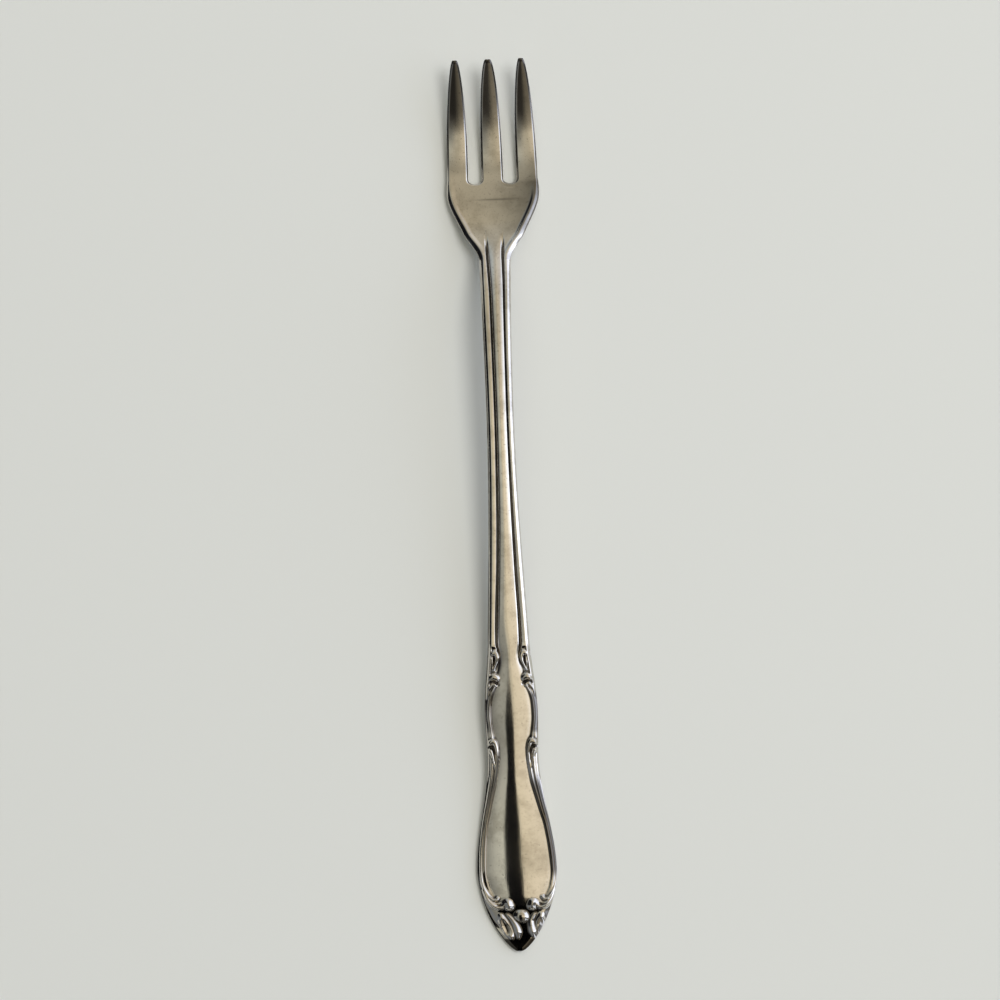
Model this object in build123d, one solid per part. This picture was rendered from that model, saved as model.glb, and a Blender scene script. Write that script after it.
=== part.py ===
"""Oyster fork: a three-tined cocktail fork, coined from one strip of steel.

The fork lies face up, on the back of its handle and the belly of its head. X runs across the fork,
Y from the point of the handle to the tips of the tines, and Z up. The zero point lies on the table,
half-way along the fork. All sizes are in millimetres. Places along the fork are distances from the
point of the handle.
"""
from build123d import *
import math
import os

# Lengths of the zones, from the point of the handle to the tips of the tines
FINIAL_LENGTH = 11.4
HANDLE_LENGTH = 41.4
STEM_LENGTH = 65.2
HEAD_LENGTH = 13.9
TINE_LENGTH = 20.1

# Widths across the fork
POINT_WIDTH = 0.8
PADDLE_WIDTH = 13.6
WAIST_WIDTH = 8.7
BULGE_WIDTH = 9.1
STEM_ROOT_WIDTH = 7.1
STEM_WIDTH = 4.65
NECK_WIDTH = 5.4
HEAD_WIDTH = 15.8
HEAD_TAPER = 0.3

# Where those widths lie
PADDLE_TO_POINT = 13.7
WAIST_TO_STEM = 19.3
BULGE_TO_STEM = 12.3
SLIM_TO_HEAD = 26.0
SHOULDER_MIDDLE = 4.7
SHOULDER_LENGTH = 11.6

# Fullness of the pointed end: 1 is a straight-sided point
POINT_FULLNESS = 1.7
POINT_BLUNTNESS = 1.4

# Thickness of the metal on the centre line
POINT_THICKNESS = 0.9
FIELD_THICKNESS = 1.25
HANDLE_THICKNESS = 2.1
STEM_THICKNESS = 2.7
HEAD_THICKNESS = 1.5
TINE_TIP_THICKNESS = 0.75

# Side view: how high the back of the fork stands over the table
POINT_LIFT = 0.4
NECK_HEIGHT = 6.5
TINE_TIP_LIFT = 5.4
REST_WEAR = 0.08
NECK_TO_HEAD = 12.0
BELLY_TO_TINES = 3.7
REST_START = 5.0
REST_LENGTH = 9.5

# Border: a flat-topped rib along the edge, and the groove that parts it from the crowned middle
POINT_BORDER = 0.28
HANDLE_BORDER = 1.25
STEM_BORDER = 1.4
HANDLE_GROOVE_DEPTH = 0.85
STEM_GROOVE_DEPTH = 0.8
HANDLE_RIB_RISE = 0.4
STEM_RIB_RISE = 0.5
PALM_DISH = 0.08
RIB_WALL_SHARE = 0.25
FIELD_TO_POINT = 4.4
PANEL_TO_POINT = 7.9
FADE_LENGTH = 4.0

# Rounding of the edges and of the back
EDGE_INSET = 0.25
EDGE_DROP = 0.15
BACK_INSET = 0.6
HANDLE_BACK_ROUND = 0.12
STEM_BACK_ROUND = 0.42
HEAD_BACK_ROUND = 0.3

# Tines
MIDDLE_TINE_WIDTH = 3.7
SLOT_WIDTH = 2.28
TINE_TIP_WIDTH = 0.6
TINE_TIP_SPACING = 5.62
MIDDLE_TINE_TAPER = 0.46
OUTER_TINE_TAPER = 0.56
TINE_CORNER = 0.72

# Raised ornaments: the radius of the round end, the length, and the rise over the metal around it
BUD_RADIUS = 0.85
BUD_LENGTH = 4.2
BUD_RISE = 0.45
HOOD_RADIUS = 0.95
HOOD_LENGTH = 4.8
HOOD_RISE = 0.5
INNER_LEAF_RADIUS = 0.75
INNER_LEAF_LENGTH = 3.6
INNER_LEAF_RISE = 0.4
OUTER_LEAF_RADIUS = 0.8
OUTER_LEAF_LENGTH = 4.2
OUTER_LEAF_RISE = 0.4
LEAF_POINT_RADIUS = 0.15
CAP_RADIUS = 0.95
CAP_RISE = 0.5
VOLUTE_RADIUS = 1.05
VOLUTE_RISE = 0.6
PEARL_RADIUS = 1.1
PEARL_RISE = 0.8
SCROLL_RADIUS = 0.45

# Places of the ornaments, across and along the fork, and how far the leaves turn from its length
BUD_ACROSS = 2.45
BUD_TO_STEM = 1.6
BUD_LEAN = 7.0
CAP_ACROSS = 2.75
CAP_TO_STEM = 5.9
HOOD_ACROSS = 3.3
HOOD_TO_STEM = 17.2
HOOD_LEAN = -8.0
VOLUTE_ACROSS = 2.0
VOLUTE_TO_HANDLE = 3.1
PEARL_TO_POINT = 5.9
INNER_LEAF_ACROSS = 1.15
INNER_LEAF_TO_POINT = 4.6
INNER_LEAF_LEAN = -10.0
OUTER_LEAF_ACROSS = 2.95
OUTER_LEAF_TO_POINT = 5.8
OUTER_LEAF_LEAN = -18.0
SCROLL_START_ACROSS = 5.6
SCROLL_START_TO_HANDLE = 0.8
SCROLL_BOW_ACROSS = 4.5
SCROLL_BOW_TO_HANDLE = 3.5

# Places worked out from the lengths
FINIAL_END = FINIAL_LENGTH
HANDLE_END = FINIAL_END + HANDLE_LENGTH
STEM_END = HANDLE_END + STEM_LENGTH
HEAD_END = STEM_END + HEAD_LENGTH
OVERALL = HEAD_END + TINE_LENGTH
SLOT_CENTRE = (MIDDLE_TINE_WIDTH + SLOT_WIDTH) / 2

# How many sections each zone is lofted through
FINIAL_SECTION_COUNT = 12
HANDLE_SECTION_COUNT = 15
STEM_SECTION_COUNT = 18
HEAD_SECTION_COUNT = 12
TINE_SECTION_COUNT = 9
POINT_CROWDING = 1.6
TIP_CROWDING = 1.6
SCROLL_FACET_COUNT = 6

# Right and left of the centre line
SIDES = (1, -1)

WIDTHS = [
    (0, POINT_WIDTH),
    (PADDLE_TO_POINT, PADDLE_WIDTH),
    (HANDLE_END - WAIST_TO_STEM, WAIST_WIDTH),
    (HANDLE_END - BULGE_TO_STEM, BULGE_WIDTH),
    (HANDLE_END, STEM_ROOT_WIDTH),
    (STEM_END - SLIM_TO_HEAD, STEM_WIDTH),
    (STEM_END, NECK_WIDTH),
    (STEM_END + SHOULDER_MIDDLE, (NECK_WIDTH + HEAD_WIDTH) / 2),
    (STEM_END + SHOULDER_LENGTH, HEAD_WIDTH),
    (HEAD_END, HEAD_WIDTH - HEAD_TAPER),
]
BACK_HEIGHTS = [
    (0, POINT_LIFT),
    (REST_START, -REST_WEAR),
    (REST_START + REST_LENGTH, -REST_WEAR),
    (STEM_END - NECK_TO_HEAD, NECK_HEIGHT),
    (HEAD_END - BELLY_TO_TINES, -REST_WEAR),
    (OVERALL, TINE_TIP_LIFT),
]
THICKNESSES = [
    (0, POINT_THICKNESS),
    (FIELD_TO_POINT, FIELD_THICKNESS),
    (PANEL_TO_POINT, HANDLE_THICKNESS),
    (HANDLE_END - WAIST_TO_STEM, HANDLE_THICKNESS),
    (HANDLE_END, STEM_THICKNESS),
    (STEM_END - FADE_LENGTH, STEM_THICKNESS),
    (HEAD_END, HEAD_THICKNESS),
    (OVERALL, TINE_TIP_THICKNESS),
]
GROOVE_DEPTHS = [
    (0, HANDLE_GROOVE_DEPTH / 16),
    (FIELD_TO_POINT, HANDLE_GROOVE_DEPTH / 10),
    (FINIAL_END, HANDLE_GROOVE_DEPTH),
    (HANDLE_END, STEM_GROOVE_DEPTH),
    (STEM_END - FADE_LENGTH, STEM_GROOVE_DEPTH),
    (STEM_END + FADE_LENGTH, STEM_GROOVE_DEPTH / 20),
    (HEAD_END, -PALM_DISH),
]
RIB_RISES = [
    (0, HANDLE_RIB_RISE / 5),
    (FIELD_TO_POINT, HANDLE_RIB_RISE / 2),
    (FINIAL_END, HANDLE_RIB_RISE),
    (HANDLE_END, STEM_RIB_RISE),
    (STEM_END - FADE_LENGTH, STEM_RIB_RISE),
    (STEM_END + FADE_LENGTH, PALM_DISH),
    (HEAD_END, PALM_DISH),
]
BORDERS = [
    (0, POINT_BORDER),
    (FIELD_TO_POINT, HANDLE_BORDER),
    (HANDLE_END - BULGE_TO_STEM, HANDLE_BORDER),
    (HANDLE_END, STEM_BORDER),
    (STEM_END, STEM_BORDER),
    (HEAD_END, (HEAD_WIDTH - HEAD_TAPER) / 2 - SLOT_CENTRE),
]
EDGE_DROPS = [
    (0, EDGE_DROP / 3),
    (FINIAL_END, EDGE_DROP),
    (STEM_END - FADE_LENGTH, EDGE_DROP),
    (HEAD_END, EDGE_DROP / 10),
]
BACK_ROUNDS = [
    (0, HANDLE_BACK_ROUND),
    (FINIAL_END, HANDLE_BACK_ROUND),
    (HANDLE_END, STEM_BACK_ROUND),
    (STEM_END, STEM_BACK_ROUND),
    (HEAD_END, HEAD_BACK_ROUND),
]


def along(stations, place):
    """Value at a place, on a smooth curve through stations of (place, value) that never overshoots."""
    spans = list(zip(stations, stations[1:]))
    rates = [(after[1] - before[1]) / (after[0] - before[0]) for before, after in spans]
    inner = [0.0 if p * q <= 0 else 2 * p * q / (p + q) for p, q in zip(rates, rates[1:])]
    slopes = [2 * rates[0] - inner[0]] + inner + [2 * rates[-1] - inner[-1]]
    span = 0
    while span < len(spans) - 1 and place > spans[span][1][0]:
        span += 1
    before, after = spans[span]
    run = after[0] - before[0]
    rise = after[1] - before[1]
    t = (place - before[0]) / run
    lead = slopes[span] * run - rise
    trail = rise - slopes[span + 1] * run
    return before[1] + rise * t + t * (1 - t) * (lead * (1 - t) + trail * t)


def half_width(place):
    """Half the width of the fork: an ogive at the point, then a smooth curve to the tines."""
    if place >= PADDLE_TO_POINT:
        return along(WIDTHS, place) / 2
    share = (1 - (1 - place / PADDLE_TO_POINT) ** POINT_FULLNESS) ** (1 / POINT_BLUNTNESS)
    return (POINT_WIDTH + (PADDLE_WIDTH - POINT_WIDTH) * share) / 2


def inset(size, half):
    """An inset that shrinks where the fork is too narrow for it."""
    return size * half / (half + size)


def section_points(place):
    """The right half of a cross-section as (x, z) points, from the back round to the crown."""
    half = half_width(place)
    back = along(BACK_HEIGHTS, place)
    crown = back + along(THICKNESSES, place)
    groove = crown - along(GROOVE_DEPTHS, place)
    rib = groove + along(RIB_RISES, place)
    shoulder = rib - along(EDGE_DROPS, place)
    low = back + along(BACK_ROUNDS, place)
    groove_across = half - along(BORDERS, place)
    shoulder_across = half - inset(EDGE_INSET, half)
    return {
        "back": (0, back),
        "back_corner": (half - inset(BACK_INSET, half), low),
        "edge": (half, (low + shoulder) / 2),
        "shoulder": (shoulder_across, shoulder),
        "rib": (groove_across + RIB_WALL_SHARE * (shoulder_across - groove_across), rib),
        "groove": (groove_across, groove),
        "crown": (0, crown),
    }


def mirrored(point):
    """The same point on the left half."""
    return (-point[0], point[1])


def halfway(first, last):
    """The point between two points."""
    return ((first[0] + last[0]) / 2, (first[1] + last[1]) / 2)


def lengthwise(place):
    """Y of a place along the fork."""
    return place - OVERALL / 2


def bow(place, first, middle, last):
    """A bowed edge of a cross-section, from its first (x, z) point through the middle one to the last."""
    y = lengthwise(place)
    pull = [2 * m - (a + b) / 2 for a, m, b in zip(first, middle, last)]
    return Bezier(*[(x, y, z) for x, z in (first, pull, last)])


def line(place, first, last):
    """A straight edge of a cross-section."""
    y = lengthwise(place)
    return Line(*[(x, y, z) for x, z in (first, last)])


def on_bow(first, middle, last, x):
    """Height at x on a bowed edge whose middle lies half-way across."""
    t = (x - first[0]) / (last[0] - first[0])
    sag = middle[1] - (first[1] + last[1]) / 2
    return first[1] + (last[1] - first[1]) * t + 4 * sag * t * (1 - t)


def back_height(place, x):
    """Height of the underside."""
    p = section_points(place)
    return on_bow(mirrored(p["back_corner"]), p["back"], p["back_corner"], x)


def top_height(place, x):
    """Height of the upper side: the crown between the grooves, then a groove's wall, then the rib."""
    p = section_points(place)
    if abs(x) <= p["groove"][0]:
        return on_bow(mirrored(p["groove"]), p["crown"], p["groove"], x)
    first, last = (p["groove"], p["rib"]) if abs(x) <= p["rib"][0] else (p["rib"], p["shoulder"])
    return on_bow(first, halfway(first, last), last, abs(x))


def cross_section(place):
    """The whole outline of the handle, stem or head, with the parting line of the dies at its edges."""
    p = section_points(place)
    m = {name: mirrored(point) for name, point in p.items()}
    return Wire([
        bow(place, m["back_corner"], p["back"], p["back_corner"]),
        line(place, p["back_corner"], p["edge"]),
        line(place, p["edge"], p["shoulder"]),
        line(place, p["shoulder"], p["rib"]),
        line(place, p["rib"], p["groove"]),
        bow(place, p["groove"], p["crown"], m["groove"]),
        line(place, m["groove"], m["rib"]),
        line(place, m["rib"], m["shoulder"]),
        line(place, m["shoulder"], m["edge"]),
        line(place, m["edge"], m["back_corner"]),
    ])


def spread(start, end, count, crowding=1.0):
    """Evenly spread places, or with a crowding over 1, closer together at the start."""
    return [start + (end - start) * (k / (count - 1)) ** crowding for k in range(count)]


def zone(start, end, count, crowding=1.0):
    """A stretch of the fork lofted through its cross-sections."""
    sections = [cross_section(place) for place in spread(start, end, count, crowding)]
    return Solid.make_loft(sections, ruled=True)


def on_table(shape):
    """The shape with its back worn flat where it would sink into the table."""
    table = Pos(0, 0, -OVERALL / 2) * Box(OVERALL, 2 * OVERALL, OVERALL)
    return shape - table


def dome(radius, rise, place, x):
    """The upper half of a ball, sunk so that only its rise shows."""
    z = top_height(place, x) - radius + rise
    half_ball = Sphere(radius, arc_size1=0, align=(Align.CENTER, Align.CENTER, Align.MIN))
    return Pos(x, lengthwise(place), z) * half_ball


def leaf(radius, length, rise, place, x, lean):
    """The upper half of a drop: its round end at the place, its tail towards the handle's point."""
    tail = length - radius
    with BuildSketch() as drop:
        Circle(radius)
        with Locations((0, LEAF_POINT_RADIUS - tail)):
            Circle(LEAF_POINT_RADIUS)
        make_hull()
        split(bisect_by=Plane.YZ)
    half_drop = revolve(drop.sketch, Axis.Y, -180)
    turn = math.radians(lean)
    front = top_height(place, x)
    fall = top_height(place - tail * math.cos(turn), x + tail * math.sin(turn)) - front
    pitch = -math.degrees(math.atan2(fall, tail))
    spot = Pos(x, lengthwise(place), front - radius + rise)
    return spot * Rot(0, 0, lean) * Rot(pitch, 0, 0) * half_drop


def dome_pair(radius, rise, place, across):
    """A dome at each side."""
    return [dome(radius, rise, place, side * across) for side in SIDES]


def leaf_pair(radius, length, rise, place, across, lean):
    """A leaf at each side, leaning alike."""
    return [leaf(radius, length, rise, place, side * across, side * lean) for side in SIDES]


def scroll(side):
    """A faceted bead that curls from the border into the volute."""
    turn = FINIAL_END - SCROLL_BOW_TO_HANDLE
    z = top_height(turn, SCROLL_BOW_ACROSS)
    path = ThreePointArc(
        (side * SCROLL_START_ACROSS, lengthwise(FINIAL_END - SCROLL_START_TO_HANDLE), z),
        (side * SCROLL_BOW_ACROSS, lengthwise(turn), z),
        (side * VOLUTE_ACROSS, lengthwise(FINIAL_END - VOLUTE_TO_HANDLE - VOLUTE_RADIUS), z),
    )
    start = Plane(path @ 0, x_dir=(0, 0, 1), z_dir=path % 0)
    return sweep(start * RegularPolygon(SCROLL_RADIUS, SCROLL_FACET_COUNT), path)


def make_finial():
    """The pointed end, with scrolls, volutes, a pearl and four leaves."""
    plate = zone(0, FINIAL_END, FINIAL_SECTION_COUNT, POINT_CROWDING)
    ornaments = [dome(PEARL_RADIUS, PEARL_RISE, PEARL_TO_POINT, 0)]
    ornaments += dome_pair(VOLUTE_RADIUS, VOLUTE_RISE, FINIAL_END - VOLUTE_TO_HANDLE, VOLUTE_ACROSS)
    ornaments += [scroll(side) for side in SIDES]
    ornaments += leaf_pair(INNER_LEAF_RADIUS, INNER_LEAF_LENGTH, INNER_LEAF_RISE,
                           INNER_LEAF_TO_POINT, INNER_LEAF_ACROSS, INNER_LEAF_LEAN)
    ornaments += leaf_pair(OUTER_LEAF_RADIUS, OUTER_LEAF_LENGTH, OUTER_LEAF_RISE,
                           OUTER_LEAF_TO_POINT, OUTER_LEAF_ACROSS, OUTER_LEAF_LEAN)
    return plate.fuse(*ornaments)


def make_handle():
    """The panelled handle, with buds and caps at the stem and hoods at the waist."""
    plate = zone(FINIAL_END, HANDLE_END, HANDLE_SECTION_COUNT)
    ornaments = leaf_pair(BUD_RADIUS, BUD_LENGTH, BUD_RISE,
                          HANDLE_END - BUD_TO_STEM, BUD_ACROSS, BUD_LEAN)
    ornaments += dome_pair(CAP_RADIUS, CAP_RISE, HANDLE_END - CAP_TO_STEM, CAP_ACROSS)
    ornaments += leaf_pair(HOOD_RADIUS, HOOD_LENGTH, HOOD_RISE,
                           HANDLE_END - HOOD_TO_STEM, HOOD_ACROSS, HOOD_LEAN)
    return plate.fuse(*ornaments)


def make_stem():
    """The slender stem, with a crowned ridge between two grooves."""
    return zone(HANDLE_END, STEM_END, STEM_SECTION_COUNT)


def make_head():
    """The shouldered palm, notched by the round bottoms of the two slots."""
    palm = zone(STEM_END, HEAD_END, HEAD_SECTION_COUNT)
    notch = Cylinder(SLOT_WIDTH / 2, OVERALL)
    return palm - [Pos(side * SLOT_CENTRE, lengthwise(HEAD_END), 0) * notch for side in SIDES]


def slot_wall(x):
    """A slot's wall at the end of the head: its top, middle and bottom points."""
    top, bottom = (x, top_height(HEAD_END, x)), (x, back_height(HEAD_END, x))
    return [top, halfway(top, bottom), bottom]


def tine_outline(place, left, right, over, under):
    """A tine's cross-section: two walls of three points each, a bowed top and a bowed underside."""
    return Wire([
        bow(place, left[2], under, right[2]),
        line(place, right[2], right[1]),
        line(place, right[1], right[0]),
        bow(place, right[0], over, left[0]),
        line(place, left[0], left[1]),
        line(place, left[1], left[2]),
    ])


def tine_root(left, right):
    """The part of the head's end face that a tine grows out of."""
    top, bottom = halfway(left[0], right[0])[0], halfway(left[2], right[2])[0]
    over = (top, top_height(HEAD_END, top))
    under = (bottom, back_height(HEAD_END, bottom))
    return tine_outline(HEAD_END, left, right, over, under)


def tine_section(place, centre, half):
    """A cross-section further out, with sides that are pinched to an edge."""
    low = along(BACK_HEIGHTS, place)
    high = low + along(THICKNESSES, place)
    middle = (low + high) / 2
    reach, lift = TINE_CORNER * half, TINE_CORNER * (high - middle)
    left, right = [
        [(centre + side * reach, middle + lift), (centre + side * half, middle),
         (centre + side * reach, middle - lift)]
        for side in (-1, 1)
    ]
    return tine_outline(place, left, right, (centre, high), (centre, low))


def make_tine(left, right, tip_centre, taper):
    """A tine from its root in the head to its blunt tip."""
    root_width = right[1][0] - left[1][0]
    root_centre = halfway(left[1], right[1])[0]
    sections = [tine_root(left, right)]
    for place in spread(OVERALL, HEAD_END, TINE_SECTION_COUNT, TIP_CROWDING)[-2::-1]:
        t = (place - HEAD_END) / TINE_LENGTH
        width = TINE_TIP_WIDTH + (root_width - TINE_TIP_WIDTH) * max(1 - t * t, 0) ** taper
        centre = root_centre + (tip_centre - root_centre) * t
        sections.append(tine_section(place, centre, width / 2))
    return Solid.make_loft(sections, ruled=True)


def make_tines():
    """The middle tine and the two outer ones, which mirror each other."""
    p = section_points(HEAD_END)
    head_edge = [p["shoulder"], p["edge"], p["back_corner"]]
    inner_wall = slot_wall(SLOT_CENTRE + SLOT_WIDTH / 2)
    outer = make_tine(inner_wall, head_edge, TINE_TIP_SPACING, OUTER_TINE_TAPER)
    half = MIDDLE_TINE_WIDTH / 2
    return {
        "tine_left": mirror(outer, Plane.YZ),
        "tine_middle": make_tine(slot_wall(-half), slot_wall(half), 0, MIDDLE_TINE_TAPER),
        "tine_right": outer,
    }


def main():
    pieces = make_tines()
    pieces["head"] = make_head()
    pieces["stem"] = make_stem()
    pieces["handle"] = make_handle()
    pieces["finial"] = make_finial()
    os.makedirs("parts", exist_ok=True)
    for name, shape in pieces.items():
        export_step(on_table(shape), f"parts/{name}.step")


main()
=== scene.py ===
"""Oyster fork: the finished look of a three-tined cocktail fork, coined from one strip of steel.

The fork lies face up. X runs across it, Y from the point of the handle to the tips of the tines, and
Z up. Sizes in the script are in millimetres, and MM turns them into metres. A place along the fork is
its distance from the point of the handle. Ornaments are given for the right half and mirrored.
"""
import math

import bpy
import numpy as np
from mathutils import Matrix, Vector


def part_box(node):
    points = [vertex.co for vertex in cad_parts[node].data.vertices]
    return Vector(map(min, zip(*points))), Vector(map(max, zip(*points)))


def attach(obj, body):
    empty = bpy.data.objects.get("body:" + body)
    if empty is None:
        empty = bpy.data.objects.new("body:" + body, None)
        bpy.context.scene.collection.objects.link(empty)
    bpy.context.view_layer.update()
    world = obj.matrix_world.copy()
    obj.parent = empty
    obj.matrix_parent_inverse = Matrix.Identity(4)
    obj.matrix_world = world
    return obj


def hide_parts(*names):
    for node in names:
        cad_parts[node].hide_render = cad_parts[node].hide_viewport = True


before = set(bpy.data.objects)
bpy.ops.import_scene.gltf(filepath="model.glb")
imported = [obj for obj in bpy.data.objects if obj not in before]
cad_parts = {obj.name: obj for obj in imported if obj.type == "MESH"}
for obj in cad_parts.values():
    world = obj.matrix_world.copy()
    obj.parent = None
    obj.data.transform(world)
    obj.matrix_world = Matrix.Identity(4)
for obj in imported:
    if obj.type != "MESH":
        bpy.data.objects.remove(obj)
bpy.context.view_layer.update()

bl_info = {
    "name": "Oyster fork",
    "version": (1, 0, 0),
    "blender": (4, 5, 0),
    "location": "View3D > Sidebar > Fork",
    "description": "Builds a coined oyster fork with its ornament, its worn steel and its stage",
    "category": "Object",
}

MM = 0.001

# Places along the fork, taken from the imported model
POINT_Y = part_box("finial")[0].y / MM
HANDLE_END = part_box("handle")[1].y / MM - POINT_Y
STEM_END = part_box("stem")[1].y / MM - POINT_Y
HEAD_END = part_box("head")[1].y / MM - POINT_Y
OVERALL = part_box("tine_middle")[1].y / MM - POINT_Y
TINE_LENGTH = OVERALL - HEAD_END

# Outline of the blank
POINT_WIDTH = 0.8
PADDLE_PLACE = 13.7
PADDLE_WIDTH = 2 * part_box("handle")[1].x / MM
HEAD_WIDTH = 2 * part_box("head")[1].x / MM
ROOT_WIDTH = HEAD_WIDTH - 0.3
POINT_FULLNESS = 1.7
POINT_BLUNTNESS = 1.4
WIDTHS = [
    (0, POINT_WIDTH), (PADDLE_PLACE, PADDLE_WIDTH), (33.5, 8.7), (40.5, 9.1), (HANDLE_END, 7.1), (92, 4.65),
    (STEM_END, 5.4), (122.7, 10.6), (129.6, HEAD_WIDTH), (HEAD_END, ROOT_WIDTH),
]

# Side view: the back over the table, and the metal over the back on the centre line
BACK_HEIGHTS = [(0, 0.4), (5, -0.08), (14.5, -0.08), (106, 6.5), (128.2, -0.08), (OVERALL, 5.4)]
THICKNESSES = [
    (0, 0.7), (4.4, 1.2), (6.6, 1.42), (7.6, 1.6), (9.4, 2.0), (20, 2.14), (30, 2.32), (41, 2.52),
    (HANDLE_END, 2.62), (60, 2.66), (114, 2.66), (HEAD_END, 1.5), (OVERALL, 0.75),
]

# Section: the crowned middle, the grooves beside it, the ribs at the edges
GROOVE_PLACES = [
    (0, 0.2), (4.4, 2.6), (8.6, 4.0), (11.4, 5.2), (13.7, 5.5), (17.1, 5.3), (21.4, 4.75), (23.9, 4.1),
    (26.5, 3.45), (29, 2.8), (30.3, 2.6), (31.7, 2.35), (33, 2.2), (34.2, 2.15), (35.2, 2.3), (36.4, 2.8),
    (37.6, 3.2), (40.1, 3.48), (42.7, 3.38), (44.2, 2.95), (45.5, 2.4), (46.8, 1.85), (48, 2.3), (49.5, 1.8),
    (50.5, 1.65), (HANDLE_END, 2.12), (66.5, 1.56), (76.8, 1.26), (92, 1.04), (110, 1.16), (STEM_END, 1.36),
    (122.6, 1.5), (HEAD_END, 1.6),
]
RIDGE_WIDTHS = [
    (0, 0.2), (4.4, 2.6), (8.6, 4.0), (11.4, 5.2), (13.7, 5.5), (17.1, 5.3), (21.4, 4.75), (26.5, 3.5),
    (30.3, 2.7), (33.5, 2.45), (37, 2.95), (40.1, 3.4), (43.5, 3.1), (47, 2.4), (50.5, 1.64),
    (HANDLE_END, 1.9), (66.5, 1.4), (76.8, 1.1), (92, 0.98), (110, 1.08), (STEM_END, 1.2), (HEAD_END, 1.3),
]
RIDGE_BOW_SHARES = [(0, 1), (46, 1), (55, 0.4), (HEAD_END, 0.4)]
RIDGE_POWER = 18
RIDGE_LEAN = 0.085
RIDGE_LEAN_POWER = 6
RIDGE_LEANS = [(0, 0), (51, 0), (58, RIDGE_LEAN), (113, RIDGE_LEAN), (121, 0), (OVERALL, 0)]
GROOVE_DEPTHS = [
    (0, 0), (6.6, 0), (7.6, 0.15), (9.4, 0.66), (11.4, 0.84), (14, 0.82), (21, 0.7), (29, 0.46), (33.5, 0.4),
    (37, 0.5), (40, 0.58), (46.8, 0.5), (50, 0.5), (HANDLE_END, 0.7), (60, 0.8), (114, 0.8),
    (STEM_END, 0.68), (122.6, 0), (HEAD_END, 0),
]
RIB_RISES = [
    (0, 0), (7, 0), (11.4, 0.12), (51.0, 0.12), (52.3, 0.5), (114, 0.5), (STEM_END, 0.52), (122.6, 0),
    (HEAD_END, 0),
]
RIB_WALL = 0.2
RIB_BOWS = [(0, 0), (51, 0), (53, 0.09), (STEM_END, 0.09), (124, 0), (HEAD_END, 0)]
EDGE_DROPS = [(0, 0), (2.6, 0.05), (4.6, 0.35), (7, 0.45), (9, 0.12), (51, 0.12), (53, 0), (HEAD_END, 0)]
RIM_RISES = [(0, 0), (STEM_END, 0), (122, 0.32), (127, 0.26), (131.5, 0), (OVERALL, 0)]
RIM_WIDTH = 0.85
RIM_WALL = 0.6
LEFT_RIM_SHARE = 0.45
PALM_DISHES = [(0, 0), (120, 0), (126, 0.22), (131, 0.22), (140, 0), (OVERALL, 0)]

# Die shift: how far the coined relief sits to the right of the blank's middle, most at the point
DIE_SHIFTS = [
    (0, 1.3), (2.2, 1.2), (3.3, 1.0), (4.2, 0.8), (5.3, 0.5), (6.3, 0.4), (9, 0.35), (20, 0.1), (29, -0.05),
    (34, 0), (46, 0.08), (52, 0), (60, 0.08), (76, 0.21), (112, 0.22), (121, 0), (OVERALL, 0),
]

# Rounding of the edges, as a width in plan
EDGE_ROUNDS = [
    (0, 0.6), (4, 0.8), (9, 0.75), (13, 0.65), (28, 0.65), (31, 0.42), (36, 0.42), (40, 0.6),
    (HANDLE_END, 0.68), (114, 0.68), (120, 0.9), (128, 0.8), (HEAD_END, 0.36), (OVERALL, 0.36),
]
BEVEL_BOW = 1.5
WALL_SHARE = 0.3
WALL_RUN = 0.06
RIM_SHARE = 0.6
POINT_EDGE = 0.04
BACK_ROUND = 0.9
BACK_BOWS = [(0, 0.12), (11.4, 0.12), (HANDLE_END, 0.42), (STEM_END, 0.42), (HEAD_END, 0.3), (OVERALL, 0.1)]

# Tines
MIDDLE_TINE_WIDTH = 3.7
SLOT_WIDTH = 2.28
SLOT_CENTRE = (MIDDLE_TINE_WIDTH + SLOT_WIDTH) / 2
SLOT_DEPTH = 0.75
SLOT_RUN = 5.0
LEAST_GAP = 0.003
TINE_TIP_WIDTH = 0.62
TINE_TIP_SPACING = 5.62
MIDDLE_TINE_TAPER = 0.46
OUTER_TINE_TAPER = 0.56
TINE_CROWN = 0.11
TINE_CROWN_RUN = 4.0

# Dirt, painted shade and other darkening, where 0 is bare metal and 1 the darkest, and where they start and
# fade
CHANNEL_DARKENINGS = [
    (0, 0), (9.5, 0.1), (11.5, 0.35), (14, 0.85), (28, 0.82), (31, 0.3), (32.5, 0.05), (36.4, 0.05),
    (38, 0.8), (43.5, 0.8), (45.5, 0.05), (OVERALL, 0),
]
CHANNEL_START = -0.1
CHANNEL_FADE_IN = 0.15
CHANNEL_END = 0.6
CHANNEL_FADE_OUT = 0.2
CHANNEL_LEAN = 0.25
FIELD_DIRTS = [(0, 1), (2.5, 1), (3.5, 0.85), (7.4, 0.85), (8.3, 0), (OVERALL, 0)]
FIELD_MARGINS = [(0, 0.6), (3, 0.75), (4.3, 1.1), (7, 1.75), (8.3, 0.5), (OVERALL, 0.5)]
FIELD_FADE = 0.4
FIELD_RELIEF = 0.2
DARK_POINT_END = 1.9
DARK_POINT_FADE = 0.5
# Painted shade on the left edge of the handle, where it mirrors the shaded floor beside the fork
EDGE_SHADE = 0.85
EDGE_SHADE_SHARE = 0.15
EDGE_SHADE_FADE = 0.25
EDGE_SHADE_END = 62
EDGE_SHADE_RUN_OUT = 12
PALM_DARKENINGS = [(0, 0), (119, 0), (124, 0.9), (131, 1), (HEAD_END, 0.8), (140, 0.5), (OVERALL, 0.5)]
PALM_DARKENING_MIDDLE = 0.3
PALM_DARKENING_LEAN = 0.45
PALM_MARK = 0.35
PALM_MARK_PLACE = 128.4
PALM_MARK_WIDTH = 0.3
PALM_MARK_SHARE = -0.1
PALM_MARK_REACH = 0.85
# Painted shade on the tines, for the dark room that their edges, flats and tips mirror
TINE_SHADE_RUN = 3
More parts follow.
